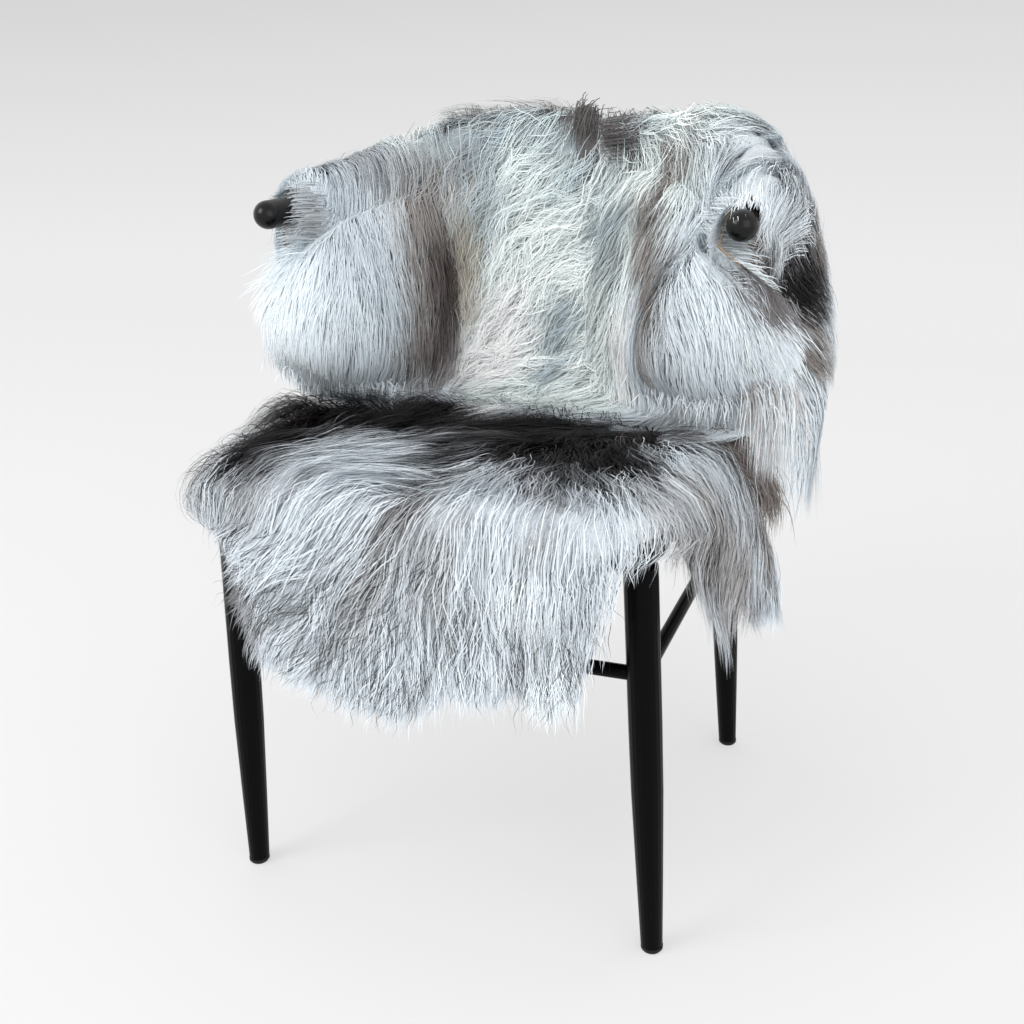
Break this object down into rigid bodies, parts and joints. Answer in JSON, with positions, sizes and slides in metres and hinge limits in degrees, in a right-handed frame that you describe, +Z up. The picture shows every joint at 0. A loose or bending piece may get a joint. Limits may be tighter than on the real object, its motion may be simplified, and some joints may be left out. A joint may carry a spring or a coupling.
{
  "type": "sheepskin draped over a spindle-back armchair",
  "caption": "Long-haired grey sheepskin draped over a black spindle-back armchair, covering the back and seat with an apron in front and a lobe round each arm.",
  "frame": {"origin": "on the floor under the middle of the whole, sheepskin and chair", "axes": "+Z up; the chair faces -Y, and +X is on the right of someone who looks at it from the front"},
  "size_m": [0.6636, 0.6528, 0.8186],
  "materials": {
    "grey_wool": "long silver-grey wool with near-black and white patches",
    "black_lacquer": "satin black lacquer",
    "glide_plastic": "dull black"
  },
  "bodies": {
    "root": {"seat": "black_lacquer", "arm_bow": "black_lacquer", "sheepskin": "grey_wool", "leg_front_left": "black_lacquer", "leg_front_right": "black_lacquer", "leg_back_left": "black_lacquer", "leg_back_right": "black_lacquer", "stretcher_front": "black_lacquer", "stretcher_back": "black_lacquer", "stretcher_left": "black_lacquer", "stretcher_right": "black_lacquer", "spindle_01": "black_lacquer", "spindle_02": "black_lacquer", "spindle_03": "black_lacquer", "spindle_04": "black_lacquer", "spindle_05": "black_lacquer", "spindle_06": "black_lacquer", "spindle_07": "black_lacquer", "spindle_08": "black_lacquer", "spindle_09": "black_lacquer", "spindle_10": "black_lacquer", "spindle_11": "black_lacquer", "glide_front_left": "glide_plastic", "glide_front_right": "glide_plastic", "glide_back_left": "glide_plastic", "glide_back_right": "glide_plastic"}
  },
  "joints": []
}
